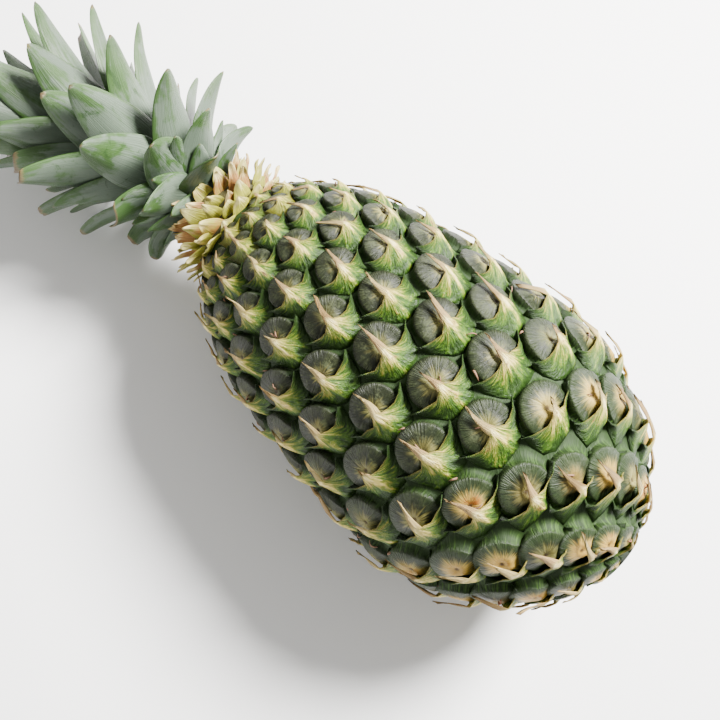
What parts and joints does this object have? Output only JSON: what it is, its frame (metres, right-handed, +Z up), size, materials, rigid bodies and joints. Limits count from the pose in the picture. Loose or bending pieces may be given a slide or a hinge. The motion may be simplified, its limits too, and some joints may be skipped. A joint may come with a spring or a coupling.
{
  "type": "pineapple",
  "caption": "Fresh whole pineapple lying on its side, with raised eyes under pointed bracts, a collar of dry scales and a crown of pointed leaves.",
  "frame": {"origin": "middle of the flattened eye the fruit rests on, at the height of the surface it lies on", "axes": "+X along the fruit from its base towards the crown, +Z up as it lies, +Y completing a right-handed frame"},
  "size_m": [0.3232, 0.1284, 0.1243],
  "materials": {
    "skin": "waxy green rind with dusty bloom",
    "dry_scale": "matt, papery",
    "leaf": "satin with a pale waxy bloom",
    "cut_stem": "dry cut fibres"
  },
  "bodies": {
    "root": {"fruit": "skin", "neck_scales": "dry_scale", "crown_leaves": "leaf", "cut_stem": "cut_stem"}
  },
  "joints": []
}
